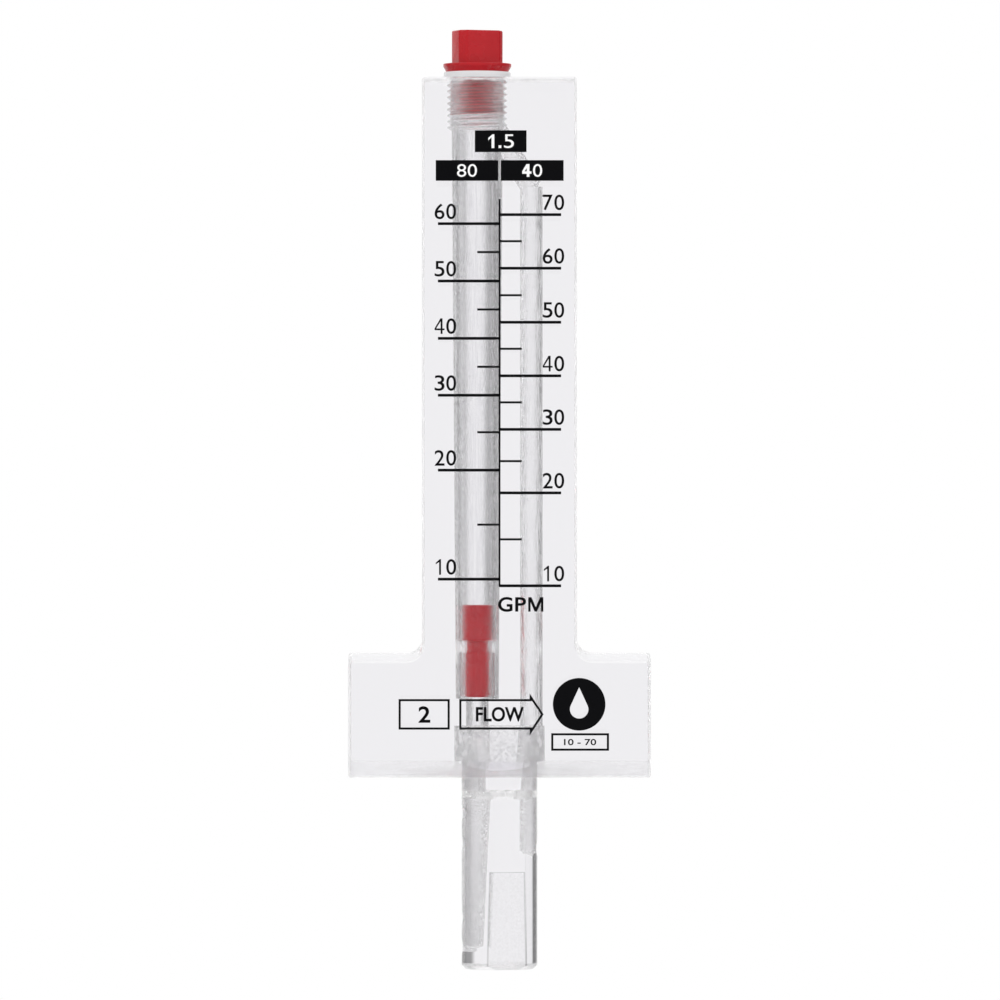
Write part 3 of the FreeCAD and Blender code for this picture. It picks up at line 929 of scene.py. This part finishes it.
class FLOWMETER_OT_float(bpy.types.Operator):
    """Turned red float in the metering bore"""
    bl_idname = "flow_meter.float"
    bl_label = "Float"

    def execute(self, context):
        size = context.scene.flow_meter.float
        head, stem, waist = size.head_width / 2, size.stem_width / 2, size.waist_width / 2
        neck, b = size.top - size.head_height, size.bevel
        shoulder = neck - size.waist_height
        profile = [(0, size.foot), (stem - b, size.foot), (stem, size.foot + b),
                   (stem, shoulder - b), (waist, shoulder), (waist, neck), (head, neck + b),
                   (head, size.top - 0.4 * MM), (head - 0.12 * MM, size.top - 0.12 * MM),
                   (head - 0.4 * MM, size.top), (0, size.top)]
        body = turned("turned_float", profile, x=context.scene.flow_meter.body.bore_x)
        # Red with painted light in it, lighter than the plug's
        finish_with(body, finishes(context).bright_red)
        bevel(body, 0.09 * MM, limit=25.0, segments=3)
        smooth(body, 28.0)
        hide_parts("float")
        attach(body, "float")
        return {"FINISHED"}


class FLOWMETER_OT_plug(bpy.types.Operator):
    """Red screw plug with its thread, neck, flange and wrench head"""
    bl_idname = "flow_meter.plug"
    bl_label = "Screw plug"

    def execute(self, context):
        size = context.scene.flow_meter.plug
        x = context.scene.flow_meter.body.bore_x
        half, top, end = size.shank_width / 2, size.shank_top, size.end
        shank = threaded("plug", half, size.tooth, size.pitch, end, top, x)
        outer = half + 0.4 * MM
        lead = turned("lead_in", [(0, end - MM), (half - 0.6 * MM, end), (outer, end + MM),
                                  (outer, top - 0.6 * MM), (half - 0.3 * MM, top + 0.1 * MM),
                                  (0, top + 0.1 * MM)], x=x)
        join(shank, lead, "INTERSECT")
        neck, rim, flange = size.neck_width / 2, size.rim, size.flange_width / 2
        flanged = turned("flange", [
            (0, top - MM), (neck, top - MM), (neck, size.seat), (flange - 0.65 * MM, size.seat),
            (flange, rim - 0.6 * MM), (flange, rim - 0.1 * MM), (flange - 0.1 * MM, rim),
            (0, rim)], x=x)
        join(shank, flanged, "UNION")
        join(shank, self.head(size, x), "UNION")
        finish_with(shank, finishes(context).red)
        smooth(shank, 28.0)
        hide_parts("top_plug")
        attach(shank, "plug")
        return {"FINISHED"}

    def head(self, size, x):
        """Wrench head: an eight-sided outline drawn up, its top edge rounded."""
        a, b, c, sunk = size.head_length / 2, size.head_depth / 2, size.head_corner, 0.5 * MM
        outline = [(a - c, -b), (a, c - b), (a, b - c), (a - c, b), (c - a, b), (-a, b - c),
                   (-a, c - b), (c - a, -b)]
        head = walk("head", [(px, py, size.rim - sunk) for px, py in outline], filled=True)
        open_mesh(head, "FACE")
        draw_out((0, 0, size.head_height + sunk))
        close_up(head)
        bevel(head, size.head_edge, limit=30.0, segments=4)
        head.rotation_euler = (0, 0, size.head_turn)
        head.location = (x, 0, 0)
        return fix_place(head)


class FLOWMETER_OT_seal(bpy.types.Operator):
    """Translucent ring under the plug's flange"""
    bl_idname = "flow_meter.seal"
    bl_label = "Seal"

    def execute(self, context):
        size = context.scene.flow_meter.plug
        body = context.scene.flow_meter.body
        b, steps = 0.45 * MM, 5
        inner, edge = size.seal_inner / 2, size.seal_width / 2 - b
        low, high = body.top, size.seat
        turns = [SQUARE * step / steps for step in range(steps + 1)]
        profile = [(inner, low)]
        profile += [(edge + b * sin(a), low + b - b * cos(a)) for a in turns]
        profile += [(edge + b * cos(a), high - b + b * sin(a)) for a in turns]
        profile += [(inner, high)]
        ring = turned("seal_ring", profile, x=body.bore_x, closed=True)
        finish_with(ring, finishes(context).seal)
        smooth(ring, 35.0)
        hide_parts("plug_seal")
        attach(ring, "seal")
        return {"FINISHED"}


# Print, in millimetres across and up on the front face

# Each line's number and height
LEFT_SCALE = ((60, 113.2), (55, 107.2), (50, 101.1), (45, 95.1), (40, 89.0), (35, 83.0),
              (30, 77.0), (25, 69.2), (20, 61.2), (15, 49.7), (10, 38.2))
RIGHT_SCALE = ((70, 115.1), (65, 109.5), (60, 103.8), (55, 98.1), (50, 92.4), (45, 86.8),
               (40, 81.1), (35, 75.5), (30, 69.8), (25, 63.1), (20, 56.4), (15, 46.6), (10, 36.8))
# Left ends of the two scales' numbers, and how far they stand above their line's middle
LEFT_NUMBERS, RIGHT_NUMBERS, NUMBER_RISE = -13.7, 9.1, 0.93
# Rectangles as left, right, foot and top
MIDDLE_LINE = (-0.2, 0.2, 36.55, 118.4)
SMALL_FRAME = (-21.3, -10.5, 6.46, 12.9)
RANGE_FRAME = (10.9, 23.1, 2.0, 5.7)
ARROW = ((-8.5, 6.46), (6.35, 6.46), (6.35, 5.2), (9.3, 9.68), (6.35, 14.1), (6.35, 12.9),
         (-8.5, 12.9))
# Each word's left and right end, base, height and boldness
WORDS = (("G", -0.3, 2.75, 31.3, 3.15, 0.09), ("P", 3.3, 5.6, 31.35, 3.05, 0.09),
         ("M", 6.05, 9.25, 31.35, 3.05, 0.08), ("2", -17.1, -14.6, 7.9, 3.5, 0.10),
         ("FLOW", -5.0, 5.1, 8.15, 3.1, 0.10), ("10 - 70", 13.6, 20.4, 3.15, 1.35, 0.04))
# Each black label's left, right, foot and top, and its number's height
LABELS = (("1.5", -5.2, 5.7, 128.3, 132.9, 2.9), ("80", -13.46, -0.27, 122.25, 126.6, 2.7),
          ("40", 0.27, 13.52, 122.25, 126.6, 2.7))
# Place and radius of the disc with the drop
DROP_DISC = (16.8, 11.8, 5.55)
# Signs drawn from listed outlines, nearer to the real print than the font's
DRAWN = ("1", "4", "M", ".")


def corners(x0, x1, z0, z1):
    return [(x0, z0), (x1, z0), (x1, z1), (x0, z1)]


class FLOWMETER_OT_print(bpy.types.Operator):
    """Black scales, numbers, unit and flow arrow on the front face"""
    bl_idname = "flow_meter.print"
    bl_label = "Print"

    def execute(self, context):
        self.size = context.scene.flow_meter.marks
        self.pieces, self.white = [], []
        self.scale(LEFT_SCALE, -1, LEFT_NUMBERS)
        self.scale(RIGHT_SCALE, 1, RIGHT_NUMBERS)
        self.bar(*MIDDLE_LINE)
        for word in WORDS:
            self.letters(*word)
        for label in LABELS:
            self.label(*label)
        for outline in (corners(*SMALL_FRAME), ARROW, corners(*RANGE_FRAME)):
            self.framed(outline)
        self.drop_mark(*DROP_DISC)
        finish = finishes(context)
        for piece in self.pieces:
            finish_with(piece, finish.white_ink if piece in self.white else finish.ink)
        pick(*self.pieces)
        bpy.ops.object.join()
        ink = fix_place(newest("print"))
        stage = context.scene.flow_meter.stage
        nearer = 1 + self.size.face / stage.distance
        ink.scale = (nearer, 1, nearer)
        ink.location = (stage.look_x * (1 - nearer), 0, stage.look_z * (1 - nearer))
        fix_place(ink)
        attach(ink, "block")
        return {"FINISHED"}

    def scale(self, lines, side, left):
        """One scale: long numbered lines at the tens and short ones between."""
        size = self.size
        for number, z in lines:
            even = number % 10 == 0
            reach = side * (size.reach if even else size.short) / MM
            half = (size.heavy if even else size.light) / MM / 2
            self.bar(min(0, reach), max(0, reach), z - half, z + half)
            if even:
                self.number(str(number), left, z + NUMBER_RISE, size.cap / MM)

    def thicken(self, obj):
        """Draw a flat form out from the face by the ink's thickness."""
        close_up(obj)
        ink = obj.modifiers.new("ink", "SOLIDIFY")
        ink.thickness = self.size.ink
        ink.offset = 1.0 if obj.data.polygons[0].normal.y < 0 else -1.0
        apply_all(obj)
        close_up(obj)
        self.pieces.append(obj)
        return obj

    def flat_form(self, name, points, y=0.0):
        """A filled outline on the face, or y behind it."""
        return walk(name, [(x * MM, self.size.face + y, z * MM) for x, z in points], filled=True)

    def bar(self, *sides):
        self.thicken(self.flat_form("bar", corners(*sides)))

    def framed(self, outline):
        """An outline whose inside is inset and taken out."""
        obj = self.flat_form("framed", outline)
        open_mesh(obj, "FACE")
        bpy.ops.mesh.inset(thickness=self.size.frame)
        bpy.ops.mesh.delete(type="FACE")
        self.thicken(obj)

    def letters(self, text, left, right, base, cap, bold=0.0):
        inset = 0.0 if text in DRAWN else bold
        self.outlined(*self.signs(text, left + inset, right - inset, base + inset,
                                  cap - 2 * inset, bold), bold=inset)

    def number(self, text, left, base, cap):
        """Two figures of one width."""
        self.letters(text[0], left, left + 2.1, base, cap, 0.035)
        self.letters(text[1], left + 2.45, left + 4.55, base, cap, 0.035)

    def outlined(self, *loops, bold=0.0):
        """Fill flat outlines, where one inside another is a hole, and stand them on the face."""
        pick(*loops)
        if len(loops) > 1:
            bpy.ops.object.join()
        outline = bpy.context.object
        outline.data.dimensions = "2D"
        outline.data.fill_mode = "BOTH"
        outline.data.offset = bold * MM
        outline.rotation_euler = (SQUARE, 0, 0)
        outline.location = (0, self.size.face, 0)
        pick(outline)
        bpy.ops.object.convert(target="MESH")
        return self.thicken(fix_place(bpy.context.object))

    def label(self, text, x0, x1, z0, z1, cap):
        """A black label, one filled outline, with its number in white where it is left open."""
        step, dot = cap * 0.84, cap * 0.36
        rooms = [dot if sign == "." else step for sign in text]
        left, base = (x0 + x1 - sum(rooms)) / 2, (z0 + z1 - cap) / 2
        places = []
        for sign, room in zip(text, rooms):
            places.append((sign, left + room * 0.07, left + room * 0.93, base, cap, 0.12))
            left += room
        loops = [self.flat_loop(corners(x0, x1, z0, z1))]
        for place in places:
            loops += self.signs(*place)
        self.outlined(*loops)
        for place in places:
            self.white.append(self.outlined(*self.signs(*place)))

    def flat_loop(self, points):
        """A closed outline lying flat, as a curve."""
        pick(walk("loop", [(x * MM, z * MM, 0) for x, z in points]))
        bpy.ops.object.convert(target="CURVE")
        return bpy.context.object

    def signs(self, text, left, right, base, cap, bold):
        """Flat outlines of a text that fill the given room."""
        if text in DRAWN:
            loops = self.drawn(text, left, right, base, cap, 0.34 + bold * 2)
            return [self.flat_loop(loop) for loop in loops]
        settle()
        bpy.ops.object.text_add()
        obj = bpy.context.object
        obj.data.body = text
        obj.data.resolution_u = 5
        pick(obj)
        bpy.ops.object.convert(target="CURVE")
        obj = bpy.context.object
        xs = [corner[0] for corner in obj.bound_box]
        ys = [corner[1] for corner in obj.bound_box]
        tall = (cap * MM) / (max(ys) - min(ys))
        wide = (right - left) * MM / (max(xs) - min(xs))
        obj.scale = (wide, tall, 1.0)
        obj.location = (left * MM - min(xs) * wide, base * MM - min(ys) * tall, 0)
        obj.data.dimensions = "3D"
        return [fix_place(obj)]

    def drawn(self, text, left, right, base, cap, s):
        """Outlines of a sign whose strokes are s wide."""
        top = base + cap
        if text == "1":
            b = (left + right) / 2 + 0.1 + s / 2
            a = b - s
            return [[(a, base), (b, base), (b, top), (a + s * 0.35, top), (a - 0.7, top - 0.75),
                     (a - 0.7, top - 0.75 - s * 0.9), (a, top - 0.62)]]
        if text == "4":
            b, low = right - 0.42, base + cap * 0.24
            high = low + s * 0.9
            return [[(b - s, base), (b, base), (b, low), (right, low), (right, high), (b, high),
                     (b, top), (b - s * 1.1, top), (left, low + s * 0.95), (left, low),
                     (b - s, low)],
                    [(b - s, high), (b - s, top - s * 1.55), (left + s * 0.85, high)]]
        if text == "M":
            wide, middle, high = s * 1.35, (left + right) / 2, top - 1.05
            return [[(left, base), (left + s, base), (left + s, high), (middle - s * 0.5, base),
                     (middle + s * 0.5, base), (right - s, high), (right - s, base),
                     (right, base), (right, top), (right - wide, top), (middle, base + 0.95),
                     (left + wide, top), (left, top)]]
        return [corners(left, left + s, base, base + s)]

    def drop_mark(self, x, z, radius):
        """A black disc with a plain drop left clear."""
        settle()
        bpy.ops.mesh.primitive_circle_add(vertices=96, radius=radius * MM, fill_type="NGON",
                                          rotation=(SQUARE, 0, 0),
                                          location=(x * MM, self.size.face, z * MM))
        disc = self.thicken(fix_place(bpy.context.object))
        belly, steps = 1.95, 28
        drop = [(0.0, 3.6)] + [(belly * cos(a), -1.05 + belly * sin(a))
                               for a in (radians(28 - k * 236 / steps) for k in range(steps + 1))]
        tool = self.flat_form("drop", [(x + dx, z + dz) for dx, dz in drop], -MM)
        open_mesh(tool, "FACE")
        draw_out((0, 2 * MM, 0))
        cut(disc, close_up(tool))


# Panel, classes and main

class FLOWMETER_PT_panel(bpy.types.Panel):
    """The meter's pieces in the order in which they are made"""
    bl_idname = "FLOWMETER_PT_panel"
    bl_label = "Flow meter"
    bl_space_type = "VIEW_3D"
    bl_region_type = "UI"
    bl_category = "Flow meter"

    def draw(self, context):
        for piece in PIECES:
            self.layout.operator(piece.bl_idname)


PIECES = (FLOWMETER_OT_stage, FLOWMETER_OT_body, FLOWMETER_OT_probe, FLOWMETER_OT_float,
          FLOWMETER_OT_plug, FLOWMETER_OT_seal, FLOWMETER_OT_print)
CLASSES = (MeterBodySizes, ProbeSizes, FloatSizes, PlugSizes, PrintSizes, FinishSettings,
           StageSettings, FlowMeterSettings, *PIECES, FLOWMETER_PT_panel)


def register():
    for one in CLASSES:
        bpy.utils.register_class(one)
    bpy.types.Scene.flow_meter = bpy.props.PointerProperty(type=FlowMeterSettings)


def unregister():
    del bpy.types.Scene.flow_meter
    for one in reversed(CLASSES):
        bpy.utils.unregister_class(one)


def main():
    register()
    bpy.ops.flow_meter.stage()
    bpy.ops.flow_meter.body()
    bpy.ops.flow_meter.probe()
    bpy.ops.flow_meter.float()
    bpy.ops.flow_meter.plug()
    bpy.ops.flow_meter.seal()
    bpy.ops.flow_meter.print()


if __name__ == "__main__":
    main()
